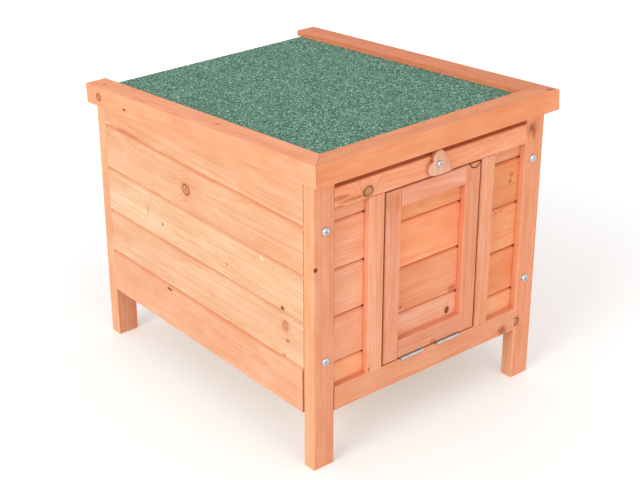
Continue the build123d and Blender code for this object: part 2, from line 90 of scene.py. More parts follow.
class Paint:
    """A short way to write the nodes of a material or of the world."""

    def __init__(self, owner):
        self.owner = owner
        self.owner.use_nodes = True
        self.tree = owner.node_tree
        self.tree.nodes.clear()

    def add(self, kind, **settings):
        n = self.tree.nodes.new("ShaderNode" + kind)
        for key, value in settings.items():
            setattr(n, key, value)
        return n

    def feed(self, socket, value):
        if isinstance(value, bpy.types.NodeSocket):
            self.tree.links.new(value, socket)
        elif value is not None:
            socket.default_value = value

    def place(self):
        """The point on the piece, m."""
        return self.add("TexCoord").outputs["Object"]

    def place_mm(self):
        return self.vector("SCALE", self.place(), scale=1 / MM)

    def math(self, operation, a, b=None):
        n = self.add("Math", operation=operation)
        for socket, value in zip(n.inputs, (a, b)):
            self.feed(socket, value)
        return n.outputs[0]

    def apart(self, value, level):
        """Distance between a value and a level."""
        return self.math("ABSOLUTE", self.math("SUBTRACT", value, level))

    def vector(self, operation, a, b=None, scale=None):
        n = self.add("VectorMath", operation=operation)
        self.feed(n.inputs[0], a)
        self.feed(n.inputs[1], b)
        if scale is not None:
            self.feed(n.inputs["Scale"], scale)
        flat = operation in ("LENGTH", "DOT_PRODUCT")
        return n.outputs["Value"] if flat else n.outputs["Vector"]

    def along(self, direction, axis):
        """How squarely a direction lies along an axis, either way."""
        return self.math("ABSOLUTE", self.vector("DOT_PRODUCT", direction, axis))

    def noise(self, vector, scale=1.0, detail=2.0, roughness=0.5, out="Fac"):
        n = self.add("TexNoise")
        self.feed(n.inputs["Vector"], vector)
        self.feed(n.inputs["Scale"], scale)
        self.feed(n.inputs["Detail"], detail)
        self.feed(n.inputs["Roughness"], roughness)
        return n.outputs[out]

    def grain_noise(self, place, length, width, detail=2.0, roughness=0.5, out="Fac"):
        """Noise drawn out along the grain, in patches of about length by width, mm."""
        drawn = self.vector("MULTIPLY", place, (1 / length, 1 / width, 1 / width))
        return self.noise(drawn, detail=detail, roughness=roughness, out=out)

    def step(self, value, low, high, to_low=0.0, to_high=1.0):
        n = self.add("MapRange", interpolation_type="SMOOTHSTEP")
        for socket, v in zip(n.inputs, (value, low, high, to_low, to_high)):
            self.feed(socket, v)
        return n.outputs[0]

    def blend(self, factor, a, b, mode="MIX"):
        n = self.add("Mix", data_type="RGBA", blend_type=mode)
        for socket, v in ((n.inputs[0], factor), (n.inputs[6], a), (n.inputs[7], b)):
            self.feed(socket, v)
        return n.outputs[2]

    def multiply(self, colour, by):
        return self.blend(1.0, colour, by, "MULTIPLY")

    def stain(self, factor, colour, by):
        """Multiplies a colour by another where factor is 1."""
        return self.blend(factor, colour, self.multiply(colour, by))

    def turn_to_lid(self, vector, centre=(0.0, 0.0, 0.0)):
        """Turns a point or a direction into the frame that lies along the lid's slope."""
        turn = self.add("VectorRotate", rotation_type="X_AXIS")
        self.feed(turn.inputs["Vector"], vector)
        turn.inputs["Center"].default_value = centre
        turn.inputs["Angle"].default_value = LID_SLOPE
        return turn.outputs[0]

    def seen_rays(self):
        """1 for the rays that look, straight, by reflection or through glass, and 0 for those that light."""
        sight = self.add("LightPath")
        indirect = self.math("MAXIMUM", sight.outputs["Is Glossy Ray"], sight.outputs["Is Transmission Ray"])
        return self.math("MAXIMUM", sight.outputs["Is Camera Ray"], indirect)

    def finish(self, colour, roughness, height, depth, **constants):
        """Closes a material; height is a bump of the given depth, m."""
        shader = self.add("BsdfPrincipled")
        self.feed(shader.inputs["Base Color"], colour)
        self.feed(shader.inputs["Roughness"], roughness)
        for key, value in constants.items():
            shader.inputs[key.replace("_", " ")].default_value = value
        bump = self.add("Bump")
        bump.inputs["Strength"].default_value = 1.0
        bump.inputs["Distance"].default_value = depth
        self.feed(bump.inputs["Height"], height)
        self.feed(shader.inputs["Normal"], bump.outputs[0])
        out = self.add("OutputMaterial")
        self.feed(out.inputs["Surface"], shader.outputs[0])
        return self.owner


# --------------------------------------------------------------------- wood
ORDER = {"x": (0, 1, 2), "y": (1, 0, 2), "z": (2, 0, 1)}  # grain axis first

# Colour factors of the wood's markings
RED_STAIN = (0.965, 0.905, 0.86, 1.0)
YELLOW_STAIN = (1.025, 1.075, 1.12, 1.0)
EARLY_WOOD = (1.02, 1.05, 1.07, 1.0)
LATE_WOOD_LOSS = (0.10, 0.26, 0.34)  # what late wood takes from each channel at full contrast
DARK_STREAK = (0.965, 0.93, 0.905, 1.0)
LIGHT_STREAK = (1.02, 1.045, 1.055, 1.0)
DULL_BLOTCH = (0.975, 0.93, 0.875, 1.0)
CLEAR_BLOTCH = (1.0, 1.045, 1.11, 1.0)
DARK_FIBRE = (0.93, 0.90, 0.875, 1.0)
LIGHT_FIBRE = (1.055, 1.075, 1.09, 1.0)
SAWN_EDGE = (0.80, 0.62, 0.52, 1.0)
END_GRAIN = (0.86, 0.74, 0.66, 1.0)
BARE_END_GRAIN = (0.9, 0.86, 0.8, 1.0)
RUBBED_EDGE = (1.03, 1.14, 1.2, 1.0)
SEAM_BAND = (0.955, 0.84, 0.77, 1.0)
# painted shadow at the bottom of a V joint
SEAM_SHADOW_LINE = (0.62, 0.44, 0.36, 1.0)
# painted shade in the corners round the frames and along the door's gaps
CORNER_PAINTED_SHADE = (0.74, 0.55, 0.46, 1.0)
KNOT_HALO = (0.92, 0.72, 0.6, 1.0)

KNOTS = {
    # style: (core colour factor, rim colour factor, core strength, rim strength, softness of the outline)
    "ring": ((0.84, 0.66, 0.58), (0.52, 0.27, 0.22), 0.8, 0.8, 0.16),
    "brown": ((0.60, 0.56, 0.50), (0.42, 0.36, 0.30), 0.85, 0.8, 0.16),
    "glow": ((1.0, 1.07, 1.12), (1.0, 1.0, 1.0), 0.8, 0.0, 0.75),
    "dark": ((0.26, 0.19, 0.15), (0.34, 0.24, 0.18), 0.95, 0.8, 0.16),
    "grey": ((0.66, 0.78, 0.74), (0.36, 0.40, 0.36), 0.9, 0.9, 0.16),
    "smudge": ((0.62, 0.52, 0.45), (0.72, 0.62, 0.54), 0.7, 0.4, 0.5),
    "faint": ((0.80, 0.76, 0.70), (0.86, 0.82, 0.78), 0.6, 0.4, 0.6),
    "red": ((0.80, 0.56, 0.48), (0.74, 0.48, 0.40), 0.8, 0.5, 0.4),
    "line": ((0.90, 0.84, 0.80), (0.16, 0.10, 0.08), 0.6, 1.0, 0.06),
    "murk": ((0.60, 0.62, 0.58), (0.70, 0.66, 0.60), 0.75, 0.3, 0.6),
    # notch: near black; at the ends of the V joints it paints the shadow in the hollow against the frame
    "notch": ((0.30, 0.18, 0.13), (0.4, 0.3, 0.22), 0.8, 0.0, 0.5),
    "pale": ((1.04, 1.45, 1.75), (1.0, 1.2, 1.3), 0.8, 0.4, 0.4),
}
SHALLOW_STYLES = ("dark", "smudge", "notch")
RING_BENDING_STYLES = ("ring", "dark", "grey", "brown", "line", "red")
STYLES_WITHOUT_HALO = ("pale", "glow", "notch", "line")
FLAT_STYLES = ("glow", "faint")
KNOT_DEPTH = 14.0
SHALLOW_KNOT_DEPTH = 6.0
SMALL_KNOT_LENGTH = 5
LEAST_BENDING_WIDTH = 2.5  # a narrower knot leaves the rings straight

# How strongly each marking shows where it is at its fullest
END_STRENGTH = 0.8
WEAR_STRENGTH = 0.55
SEAM_BAND_STRENGTH = 0.75
# the painted shadow in the V joints is strong on the front boards and weak on the side boards, which the
# light falls across
SEAM_SHADOW_STRENGTH = {"x": 0.8, "y": 0.2}  # by the boards' grain
# the painted shade in corners and gaps
CORNER_SHADE_STRENGTH = 0.85

SECOND_BOARD_SHIFT = (310.0, 47.0, 83.0)  # moves the second board of a node to other wood
SEED_STEP = (137.0, 53.0, 71.0)  # moves each piece to other wood
SLOW_BEND = (0.0, 30.0, 30.0)
QUICK_WAVER = (0.0, 3.2, 3.2)
PITH_NEAREST = 24.0  # from the board's middle to the pith line
PITH_RANGE = 34.0
ALONG_GRAIN = (0.012, 1.0, 1.0)  # the rings change this slowly along the board
WOOD_BUMP = 0.00012  # m
DULL_SPECULAR = 0.2


def scatter(seed, step):
    """A number from 0 to 1 that differs from seed to seed."""
    return (seed * step) % 1.0


def nearest_band(p, distances, ragged, waver, low, high):
    """1 near any of the given lines and 0 away from them, with a ragged edge."""
    near = None
    for distance in distances:
        band = p.step(p.math("ADD", distance, p.math("MULTIPLY", ragged, waver)), low, high, 1.0, 0.0)
        near = band if near is None else p.math("MAXIMUM", near, band)
    return near


def wood(name, tone, grain, seed, box, knots=(), other=None, sloped=False, contrast=0.5,
         spacing=2.8, rough=0.55, bare=False, seams=(), shaded_edges=(), flank=None, sawn=False):
    """Flat-sawn softwood: growth rings about a pith line off the board, knots, stain and worn edges.

    box is the piece's own (low, high) corner, mm, in the sloped frame where sloped is set.
    knots are (x, y, z, length, width, style); spacing is that of the rings.
    other is the tone of the second board where one node holds one each side of the middle.
    seams are heights of V joints; the edges given as (axis, level) get painted shade along them.
    flank is a lighter tone painted on the faces that face along x, as lit flanks look; sawn darkens the edges
    of a sawn outline.
    """
    p = Paint(bpy.data.materials.new(name))
    place = p.place_mm()
    if sloped:
        place = p.turn_to_lid(place, LID_AXIS)
    order = ORDER[grain]
    split = p.add("SeparateXYZ")
    p.feed(split.inputs[0], place)
    along, across, depth = (split.outputs[i] for i in order)
    low = [box[0][i] for i in order]
    high = [box[1][i] for i in order]
    middle = [(a + b) / 2 for a, b in zip(low, high)]
    half = [(b - a) / 2 for a, b in zip(low, high)]

    join = p.add("CombineXYZ")
    for socket, value in zip(join.inputs, (along, across, depth)):
        p.feed(socket, value)
    own = join.outputs[0]
    noise_place = own
    if other is not None:
        side = p.math("GREATER_THAN", split.outputs[0], 0.0)
        noise_place = p.vector("ADD", own, p.vector("SCALE", SECOND_BOARD_SHIFT, scale=side))
    noise_place = p.vector("ADD", noise_place, tuple(seed * step for step in SEED_STEP))

    # Slow bend of the rings along the board, and a tighter waver
    slow = p.grain_noise(noise_place, 420, 90, detail=1.0, out="Color")
    quick = p.grain_noise(noise_place, 110, 26, detail=1.0, out="Color")
    bent = p.vector("ADD", own, p.vector("MULTIPLY", slow, SLOW_BEND))
    bent = p.vector("ADD", bent, p.vector("MULTIPLY", quick, QUICK_WAVER))

    # The pith line lies off the board, a different way for each piece
    spread = (scatter(seed, 0.618) - 0.5) * 1.1
    away = PITH_NEAREST + PITH_RANGE * scatter(seed, 0.377)
    if half[1] < half[2]:  # the wide face is the depth direction
        pith = (0.0, middle[1] + away, middle[2] + spread * half[2] * 2)
    else:
        pith = (0.0, middle[1] + spread * half[1] * 2, middle[2] + away)
    flat = p.vector("MULTIPLY", p.vector("SUBTRACT", bent, pith), ALONG_GRAIN)
    radius = p.vector("LENGTH", flat)

    # Distance fields of the knots; the knot's own axis runs in from the nearest long face
    marks = []
    for x, y, z, length, width, style in knots:
        spot = [(x, y, z)[i] for i in order]
        shallow = style in SHALLOW_STYLES and length < SMALL_KNOT_LENGTH
        inward = min((1, 2), key=lambda i: min(abs(spot[i] - low[i]), abs(spot[i] - high[i])))
        size = [length, width, width]
        size[inward] = max(SHALLOW_KNOT_DEPTH if shallow else KNOT_DEPTH, width)
        from_spot = p.vector("MULTIPLY", p.vector("SUBTRACT", own, spot), [1 / s for s in size])
        reach = p.vector("LENGTH", from_spot)
        marks.append((reach, style))
        if style in RING_BENDING_STYLES and width > LEAST_BENDING_WIDTH:
            swell = p.step(reach, 0.6, 3.4, 1.0, 0.0)
            radius = p.math("ADD", radius, p.math("MULTIPLY", swell, min(width * 0.9, 7.0)))

    # Growth rings: early wood, a dark late line that ends sharply, and years of unequal strength
    ring = p.math("DIVIDE", radius, spacing * (0.85 + 0.4 * scatter(seed, 0.271)))
    year = p.math("FLOOR", ring)
    part = p.math("FRACT", ring)
    late = p.math("MULTIPLY", p.step(part, 0.30, 0.88), p.step(part, 0.90, 1.0, 1.0, 0.0))
    strength = p.add("TexNoise", noise_dimensions="1D")
    p.feed(strength.inputs["W"], p.math("MULTIPLY", year, 0.73))
    strength.inputs["Detail"].default_value = 1.0
    late = p.math("MULTIPLY", late, p.step(strength.outputs[0], 0.25, 0.75, 0.35, 1.0))

    fibre = p.grain_noise(noise_place, 26, 0.55, detail=3.0, roughness=0.6)
    streak = p.grain_noise(noise_place, 150, 6, detail=3.0, roughness=0.55)
    cloud = p.grain_noise(noise_place, 130, 42)
    blotch = p.grain_noise(noise_place, 38, 13, detail=3.0, roughness=0.55)
    ragged = p.grain_noise(noise_place, 14, 5, detail=3.0)
    ripple = p.grain_noise(noise_place, 5, 4)

    colour = rgba(tone)
    if other is not None:
        colour = p.blend(side, colour, rgba(other))
    facing = p.add("TexCoord").outputs["Normal"]
    # Painted light: the faces that face along x take the lighter flank tone
    if flank is not None:
        sideways = p.step(p.along(facing, (1.0, 0.0, 0.0)), 0.6, 0.85)
        colour = p.blend(sideways, colour, rgba(flank))
    if sawn:
        face_on = p.step(p.along(facing, (0.0, 1.0, 0.0)), 0.3, 0.7)
        colour = p.blend(face_on, p.multiply(colour, SAWN_EDGE), colour)
    # Stain: yellower where thin, redder where it soaked in, and blotches where it lay uneven
    late_wood = tuple(1.0 - loss * contrast for loss in LATE_WOOD_LOSS) + (1.0,)
    colour = p.multiply(colour, p.blend(p.step(cloud, 0.3, 0.7), RED_STAIN, YELLOW_STAIN))
    colour = p.multiply(colour, p.blend(late, EARLY_WOOD, late_wood))
    colour = p.multiply(colour, p.blend(p.step(streak, 0.3, 0.7), DARK_STREAK, LIGHT_STREAK))
    colour = p.multiply(colour, p.blend(p.step(blotch, 0.32, 0.68), DULL_BLOTCH, CLEAR_BLOTCH))
    colour = p.multiply(colour, p.blend(fibre, DARK_FIBRE, LIGHT_FIBRE))

    # End grain drinks the stain
    if sloped:
        facing = p.turn_to_lid(facing)
    grain_axis = [0.0, 0.0, 0.0]
    grain_axis[order[0]] = 1.0
    end = p.step(p.along(facing, grain_axis), 0.75, 0.95)
    colour = p.stain(p.math("MULTIPLY", end, END_STRENGTH), colour, BARE_END_GRAIN if bare else END_GRAIN)

    # Rubbed edges: the distance to the nearest edge is the middle one of the three distances to the faces
    if other is None:
        gap = []
        for value, centre, size in zip((along, across, depth), middle, half):
            gap.append(p.math("SUBTRACT", size, p.apart(value, centre)))
        edge = p.math(
            "MAXIMUM",
            p.math("MINIMUM", gap[0], gap[1]),
            p.math("MINIMUM", p.math("MAXIMUM", gap[0], gap[1]), gap[2]),
        )
        worn = p.step(p.math("SUBTRACT", edge, p.math("MULTIPLY", ragged, 3.0)), -1.4, 0.9, 1.0, 0.0)
        colour = p.stain(p.math("MULTIPLY", worn, WEAR_STRENGTH), colour, RUBBED_EDGE)

    # A redder, darker band along the V between two boards, and a thin dark line at the V's bottom that is
    # painted shadow under the upper board's edge
    if seams:
        distances = [p.apart(split.outputs[2], level) for level in seams]
        near = nearest_band(p, distances, ragged, 1.6, 1.6, 4.6)
        colour = p.stain(p.math("MULTIPLY", near, SEAM_BAND_STRENGTH), colour, SEAM_BAND)
        for distance in distances:
            line = nearest_band(p, [distance], ragged, 0.6, 0.5, 1.7)
            colour = p.stain(p.math("MULTIPLY", line, SEAM_SHADOW_STRENGTH[grain]), colour, SEAM_SHADOW_LINE)

    # Painted shade in the corner where a board meets the frame round it, and along the gaps round the door
    if shaded_edges:
        distances = [p.apart(split.outputs[axis], level) for axis, level in shaded_edges]
        near = nearest_band(p, distances, ragged, 1.4, 0.8, 3.2)
        colour = p.stain(p.math("MULTIPLY", near, CORNER_SHADE_STRENGTH), colour, CORNER_PAINTED_SHADE)

    # Knots
    height = p.math("MULTIPLY", late, 0.35)
    height = p.math("ADD", height, p.math("MULTIPLY", fibre, 0.55))
    for reach, style in marks:
        core_colour, rim_colour, core_part, rim_part, soft = KNOTS[style]
        wavering = p.math("ADD", reach, p.math("MULTIPLY", p.math("SUBTRACT", ripple, 0.5), 0.5))
        core = p.step(wavering, 1.0 - soft, 1.0 + soft, 1.0, 0.0)
        if style not in STYLES_WITHOUT_HALO:
            colour = p.stain(p.step(reach, 1.0, 2.4, 0.30, 0.0), colour, KNOT_HALO)
        colour = p.stain(p.math("MULTIPLY", core, core_part), colour, core_colour + (1.0,))
        if style == "line":
            rim = p.math("MULTIPLY", p.step(reach, 0.80, 0.90), p.step(reach, 0.96, 1.08, 1.0, 0.0))
        else:
            rim = p.math("MULTIPLY", p.step(wavering, 0.5, 0.82), core)
        if style == "ring":
            rim = p.math("MAXIMUM", rim, p.step(wavering, 0.12, 0.3, 1.0, 0.0))
        colour = p.stain(p.math("MULTIPLY", rim, rim_part), colour, rim_colour + (1.0,))
        if style not in FLAT_STYLES:
            height = p.math("ADD", height, p.math("MULTIPLY", core, 0.6))

    gloss = p.step(p.math("ADD", p.math("MULTIPLY", late, -0.25), cloud), 0.1, 0.8, rough - 0.06, rough + 0.1)
    gloss = p.math("ADD", gloss, p.math("MULTIPLY", end, 0.2))
    return p.finish(colour, gloss, height, WOOD_BUMP, Specular_IOR_Level=DULL_SPECULAR)


# --------------------------------------------------------------------- felt
FELT_DARK = rgba((50, 94, 76))
FELT_MID = rgba((118, 164, 140))
FELT_LIGHT = rgba((190, 222, 206))
FELT_PALE = rgba((146, 186, 166))
FELT_DEEP = rgba((40, 78, 62))
STONE_SCALE = 0.62  # cells to the millimetre
CLUMP_SCALE = 0.5
CLUMP_SHIFT = (31.0, 17.0, 5.0)  # sets the clumps apart from the stones
FELT_BUMP = 0.0005  # m


def stones(p, place, scale):
    """Stone grit: the distance field of the grains and their three random shades."""
    grain = p.add("TexVoronoi", feature="F1")
    p.feed(grain.inputs["Vector"], place)
    grain.inputs["Scale"].default_value = scale
    shade = p.add("SeparateColor")
    p.feed(shade.inputs[0], grain.outputs["Color"])
    return grain.outputs["Distance"], shade.outputs


def mineral_felt(name):
    """Bitumen felt under coloured stone grit."""
    p = Paint(bpy.data.materials.new(name))
    place = p.place_mm()
    distance, shade = stones(p, place, STONE_SCALE)
    clump = stones(p, p.vector("ADD", place, CLUMP_SHIFT), CLUMP_SCALE)[1]
    patch = p.noise(place, 1 / 9, 3.0, 0.6)
    drift = p.noise(place, 1 / 70)
    tone = p.blend(p.step(shade[0], 0.1, 0.9), FELT_DARK, FELT_MID)
    tone = p.blend(p.step(shade[1], 0.84, 0.90), tone, FELT_LIGHT)
    tone = p.blend(p.step(clump[0], 0.70, 0.95, 0.0, 0.4), tone, FELT_PALE)
    tone = p.blend(p.step(clump[1], 0.66, 0.85, 0.0, 0.7), tone, FELT_DEEP)
    tone = p.multiply(tone, p.blend(patch, (0.93, 0.94, 0.94, 1), (1.09, 1.08, 1.08, 1)))
    tone = p.multiply(tone, p.blend(drift, (0.92, 0.94, 0.94, 1), (1.08, 1.06, 1.06, 1)))
    stone = p.math("SUBTRACT", 1.0, p.step(distance, 0.0, 0.6))
    stone = p.math("MULTIPLY", stone, p.step(shade[2], 0.0, 1.0, 0.4, 1.0))
    height = p.math("ADD", stone, p.math("MULTIPLY", patch, 0.5))
    gloss = p.step(shade[1], 0.0, 1.0, 0.7, 0.95)
    return p.finish(tone, gloss, height, FELT_BUMP, Specular_IOR_Level=DULL_SPECULAR)


# --------------------------------------------------------------------- zinc
ZINC_BUMP = 0.00002  # m
BRIGHT_PATCH = 1.3  # a bright patch's colour over a dull one's


def zinc_plate(name, shade):
    """Zinc plating with slightly brighter and duller patches."""
    p = Paint(bpy.data.materials.new(name))
    place = p.place_mm()
    patch = p.noise(place, 1 / 4, 3.0, 0.6)
    grit = p.noise(place, 1 / 0.7)
    bright = tuple(c * BRIGHT_PATCH for c in shade) + (1,)
    colour = p.blend(p.step(patch, 0.3, 0.7), shade + (1,), bright)
    mottle = p.math("ADD", p.math("MULTIPLY", patch, 0.6), p.math("MULTIPLY", grit, 0.4))
    return p.finish(colour, p.step(mottle, 0.2, 0.8, 0.2, 0.42), grit, ZINC_BUMP, Metallic=1.0)


ZINC = zinc_plate("zinc_plate", (0.46, 0.51, 0.55))
# Painted shade: the walls of the cross recesses take a near-black zinc
RECESS_SHADE_ZINC = zinc_plate("zinc_recess_painted_shade", (0.10, 0.11, 0.12))

# ------------------------------------------------------------ wood per piece
FRONT = -239.0  # front faces of the front posts, 0.6 in front of the rails
BACK = 245.0  # back faces of the posts
DOOR = -238.4  # front faces of the door's stiles and rails
BAY = -229.0  # front faces of the boards beside the door, 0.4 behind the door's own
LEFT = -198.5  # outer faces of the left boards
RIGHT = 198.5
BACK_BOARDS = 235.0  # outer faces of the back boards


def own_box(name):
    """The piece's (low, high) corners, mm."""
    lo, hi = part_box(name)
    return tuple(v / MM for v in lo), tuple(v / MM for v in hi)


def sloped_box(name):
    """The piece's box in the frame that lies along the lid's slope, mm."""
    turn = Matrix.Rotation(LID_SLOPE, 3, "X")
    axis = Vector(LID_AXIS)
    points = [turn @ (v.co / MM - axis) + axis for v in nodes[name].data.vertices]
    low = tuple(min(q[i] for q in points) for i in range(3))
    high = tuple(max(q[i] for q in points) for i in range(3))
    return low, high


def dress(name, material):
    nodes[name].data.materials.clear()
    nodes[name].data.materials.append(material)


# Knots are (x, y, z, length along the grain, width, style)
TONES = {
    # name: (grain, base colour, base colour of a second board, knots)
    "front_left_post": ("z", (235, 158, 117), None, [(-195.4, FRONT, 289, 3.0, 2.7, "dark")]),
    "front_right_post": ("z", (241, 162, 121), None, [
        (175, FRONT, 380.5, 8, 8.5, "murk"), (175, FRONT, 381, 3.6, 3.0, "brown"),
        (180, FRONT, 372, 7, 2.6, "smudge"), (168, FRONT, 91, 7, 6.5, "grey")]),
    "front_top_rail": ("x", (249, 166, 121), None, [
        (-112, FRONT, 369.5, 9, 7.6, "grey"), (-136, FRONT, 366.5, 20, 2.2, "smudge"),
        (-158, FRONT, 373, 13, 2.6, "smudge"), (-161, FRONT, 361.5, 9, 1.8, "smudge")]),
    "front_bottom_rail": ("x", (236, 160, 120), None, [
        (140, FRONT, 87, 7, 3.4, "smudge"), (143, FRONT, 77, 7, 2.4, "smudge")]),
    "front_left_jamb": ("z", (245, 171, 132), None, [(-107, FRONT, 117, 3.2, 1.4, "notch")]),
    "front_right_jamb": ("z", (240, 163, 122), None, []),
    "front_boards_1": ("x", (255, 181, 132), (253, 180, 132), []),
    "front_boards_2": ("x", (246, 170, 131), (244, 154, 107), []),
    "front_boards_3": ("x", (247, 173, 134), (247, 165, 116), [
        (117, BAY, 266, 3.0, 1.1, "notch"), (126, BAY, 267, 2.4, 0.9, "notch"),
        (135, BAY, 267.5, 2.6, 0.9, "notch")]),
    "front_boards_4": ("x", (248, 171, 131), (238, 151, 103), [
        (152, BAY, 317, 3.2, 3.0, "red"), (150, BAY, 308, 2.4, 2.0, "brown"),
        (163, BAY, 303, 9, 20, "glow")]),
    "front_boards_5": ("x", (244, 173, 135), (235, 160, 120), []),
    "door_left_stile": ("z", (237, 158, 122), None, [
        (-77, DOOR, 346, 13, 5, "faint"), (-63, DOOR, 340, 9, 3, "faint")]),
    "door_right_stile": ("z", (234, 154, 116), None, [(72, DOOR, 361, 10, 10.5, "line")]),
    "door_top_rail": ("x", (243, 168, 136), None, []),
    "door_bottom_rail": ("x", (230, 153, 117), None, [(7, DOOR, 117, 5, 3, "smudge")]),
    "door_board_4": ("x", (242, 159, 110), None, []),
    "door_board_3": ("x", (254, 163, 115), None, []),
    "door_board_2": ("x", (240, 157, 114), None, [
        (47, BAY, 180.5, 6, 4.5, "smudge"), (-45.5, BAY, 183, 1.8, 1.5, "dark")]),
    "door_board_1": ("x", (244, 173, 138), None, [(39.7, BAY, 149.8, 3.8, 5.2, "dark")]),
    # Painted light: the left boards' tones are lighter and yellower than the right boards', as the lamp-lit
    # left side looks
    "left_board_5": ("y", (235, 175, 133), None, [
        (LEFT, 165, 342, 26, 2.6, "red"), (LEFT, 217, 342, 6, 2.2, "pale")]),
    "left_board_4": ("y", (236, 179, 138), None, [
        (LEFT, 29, 305, 9.2, 8.6, "ring"), (LEFT, -165, 313, 75, 5.5, "glow"),
        (LEFT, -80, 327, 60, 3, "glow")]),
    "left_board_3": ("y", (237, 190, 149), None, [
        (LEFT, -136, 266, 3.4, 2.6, "pale"), (LEFT, -177, 213, 3.2, 2.6, "dark"),
        (LEFT, 90, 232, 2.2, 1.6, "dark"), (LEFT, -60, 229, 2.4, 1.4, "smudge"),
        (LEFT, 125, 241, 2.0, 6, "faint"), (LEFT, 150, 238, 80, 13, "glow")]),
    "left_board_2": ("y", (235, 182, 142), None, [
        (LEFT, -183, 190, 6, 7.5, "red"), (LEFT, -187, 170, 2.8, 2.4, "brown"),
        (LEFT, -180, 146, 3.0, 2.2, "smudge"), (LEFT, -195, 160, 22, 12, "glow")]),
    "left_board_1": ("y", (238, 175, 136), None, [(LEFT, 80, 135.5, 5.5, 1.7, "dark")]),
    "right_board_5": ("y", (236, 160, 120), None, []),
    "right_board_4": ("y", (240, 168, 126), None, [(RIGHT, -92, 309, 7, 6.5, "ring")]),
    "right_board_3": ("y", (238, 162, 122), None, [(RIGHT, 140, 246, 5, 4, "dark")]),
    "right_board_2": ("y", (243, 170, 130), None, []),
    "right_board_1": ("y", (236, 158, 118), None, [(RIGHT, 60, 104, 8, 3.6, "smudge")]),
    "back_board_1": ("x", (240, 164, 124), None, []),
    "back_board_2": ("x", (236, 158, 116), None, [(-84, BACK_BOARDS, 170, 7, 6, "ring")]),
    "back_board_3": ("x", (243, 168, 128), None, [(96, BACK_BOARDS, 246, 5, 4, "smudge")]),
    "back_board_4": ("x", (238, 160, 120), None, []),
    "back_left_post": ("z", (238, 164, 124), None, []),
    "back_right_post": ("z", (234, 158, 120), None, []),
    "back_top_rail": ("x", (240, 162, 122), None, []),
    "back_bottom_rail": ("x", (236, 158, 118), None, []),
}

# Rails of the lid, with their knots in the sloped frame
SLOPED = {
    "roof_left_rail": ("y", (255, 168, 124), [
        (-207.5, 222, 380.8, 6.4, 6.4, "brown"), (-207.5, 156.5, 376, 3.6, 1.7, "dark"),
        (-207.5, 156, 379.5, 8, 2.0, "glow"), (-192, 226.6, 395.1, 3.4, 2.0, "smudge"),
        (-190, -40, 395.1, 4.0, 1.4, "smudge")]),
    "roof_right_rail": ("y", (231, 142, 100), []),
    "roof_front_rail": ("x", (241, 154, 107), [(198, -249, 395, 5, 3, "dark")]),
}

# Unstained pieces, and their grain
BARE = {
    "front_corner_battens": "z", "back_corner_battens": "z",
    "left_floor_batten": "y", "right_floor_batten": "y", "door_stop": "x",
}
BARE_TONE = (232, 196, 150)
BACK_BATTEN_TONE = (232, 190, 146)
PLY_TONE = (226, 190, 142)
BUTTON_TONE = (238, 180, 150)

# Seeds: each group of pieces counts up from its own
BOARD_SEED = 1
SLOPED_SEED = 61
BUTTON_SEED = 77
BARE_SEED = 81
BACK_BATTEN_SEED = 88
PLY_SEED = 91

# The V joints between boards stand at the lower edge of each board above
SEAMS = [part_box("left_board_%d" % n)[0].z / MM for n in (2, 3, 4, 5)]
DOOR_SEAMS = [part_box("door_board_%d" % n)[0].z / MM for n in (2, 3, 4)]
SEAM_MARGIN = 1.0  # a joint up to this far below a board marks it too
# Painted shadow in the hollow where a V joint ends against the frame: its offset and size
GROOVE_SHADOW_OFFSET = 1.0  # left of the frame and above the joint
GROOVE_SHADOW_SIZE = (2.4, 1.9)

# Inner edges of the frames round the boards: the bays beside the doorway and the door's panel
BAY_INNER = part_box("front_right_jamb")[1].x / MM
BAY_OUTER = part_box("front_right_post")[0].x / MM
BAY_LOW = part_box("front_bottom_rail")[1].z / MM
BAY_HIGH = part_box("front_top_rail")[0].z / MM
PANEL_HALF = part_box("door_right_stile")[0].x / MM
PANEL_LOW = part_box("door_bottom_rail")[1].z / MM
PANEL_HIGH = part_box("door_top_rail")[0].z / MM
BAY_EDGES = [(0, -BAY_INNER), (0, -BAY_OUTER), (0, BAY_INNER), (0, BAY_OUTER), (2, BAY_LOW), (2, BAY_HIGH)]
PANEL_EDGES = [(0, -PANEL_HALF), (0, PANEL_HALF), (2, PANEL_LOW), (2, PANEL_HIGH)]

# Where painted shade darkens the edges of the gap round the door and the posts beside the bays
DOOR_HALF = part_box("door_right_stile")[1].x / MM
DOORWAY_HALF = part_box("front_right_jamb")[0].x / MM
DOOR_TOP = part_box("door_top_rail")[1].z / MM
GAP_SHADE_EDGES = {
    "door_left_stile": [(0, -DOOR_HALF)], "door_right_stile": [(0, DOOR_HALF)],
    "front_left_jamb": [(0, -DOORWAY_HALF)], "front_right_jamb": [(0, DOORWAY_HALF)],
    "front_left_post": [(0, -BAY_OUTER)],
    "door_top_rail": [(2, DOOR_TOP)], "front_top_rail": [(2, BAY_HIGH)],
}

# Painted light: the posts' side faces take a lighter, yellower tone than their fronts, as the lamp-lit left
# side looks
LIT_FLANK_TONES = {
    "front_left_post": (236, 172, 126), "back_left_post": (236, 175, 132),
    "front_right_post": (240, 170, 126), "back_right_post": (238, 168, 126),
}


